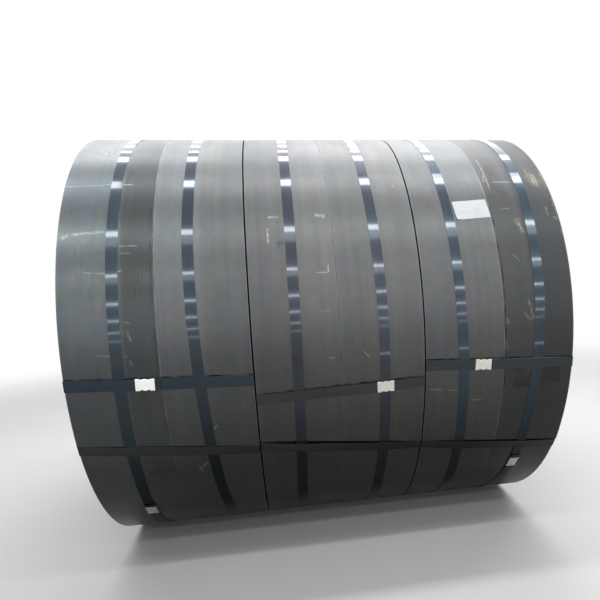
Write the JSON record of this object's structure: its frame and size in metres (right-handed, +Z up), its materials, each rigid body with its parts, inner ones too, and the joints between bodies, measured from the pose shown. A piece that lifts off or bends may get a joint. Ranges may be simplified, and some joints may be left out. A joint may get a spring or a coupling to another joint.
{
  "type": "strapped bundle of slit steel coils",
  "caption": "Slit coils of hot-rolled steel strip lying end to end on one axis, strapped in pairs by steel bands round the belly and through the bore.",
  "frame": {"origin": "on the floor, midway between the two ends, below the coils' axis", "axes": "+X along the coils' axis, from the full-width end coil to the narrower edge coil; -Y is the side where the strips' tails end and the label is; +Z up"},
  "size_m": [1.5028, 1.4814, 1.4681],
  "materials": {
    "coil_steel_1": "satin",
    "coil_steel_2": "satin",
    "coil_steel_3": "satin",
    "coil_steel_4": "satin",
    "coil_steel_5": "satin",
    "coil_steel_6": "satin",
    "blued_strap": "gloss",
    "zinc_seal": "satin",
    "label_paper": "matte"
  },
  "bodies": {
    "root": {"slit_coil_1": "coil_steel_1", "slit_coil_2": "coil_steel_2", "slit_coil_3": "coil_steel_3", "slit_coil_4": "coil_steel_4", "slit_coil_5": "coil_steel_5", "slit_coil_6": "coil_steel_6", "belly_strap_1": "blued_strap", "belly_seal_1": "zinc_seal", "belly_strap_2": "blued_strap", "belly_seal_2": "zinc_seal", "belly_strap_3": "blued_strap", "belly_seal_3": "zinc_seal", "belly_strap_4": "blued_strap", "belly_seal_4": "zinc_seal", "belly_strap_5": "blued_strap", "belly_seal_5": "zinc_seal", "belly_strap_6": "blued_strap", "belly_seal_6": "zinc_seal", "front_eye_strap_1": "blued_strap", "front_eye_seal_1": "zinc_seal", "tail_eye_strap_1": "blued_strap", "tail_eye_seal_1": "zinc_seal", "back_eye_strap_1": "blued_strap", "back_eye_seal_1": "zinc_seal", "front_eye_strap_2": "blued_strap", "front_eye_seal_2": "zinc_seal", "tail_eye_strap_2": "blued_strap", "tail_eye_seal_2": "zinc_seal", "back_eye_strap_2": "blued_strap", "back_eye_seal_2": "zinc_seal", "front_eye_strap_3": "blued_strap", "front_eye_seal_3": "zinc_seal", "tail_eye_strap_3": "blued_strap", "tail_eye_seal_3": "zinc_seal", "back_eye_strap_3": "blued_strap", "back_eye_seal_3": "zinc_seal", "label": "label_paper"}
  },
  "joints": []
}
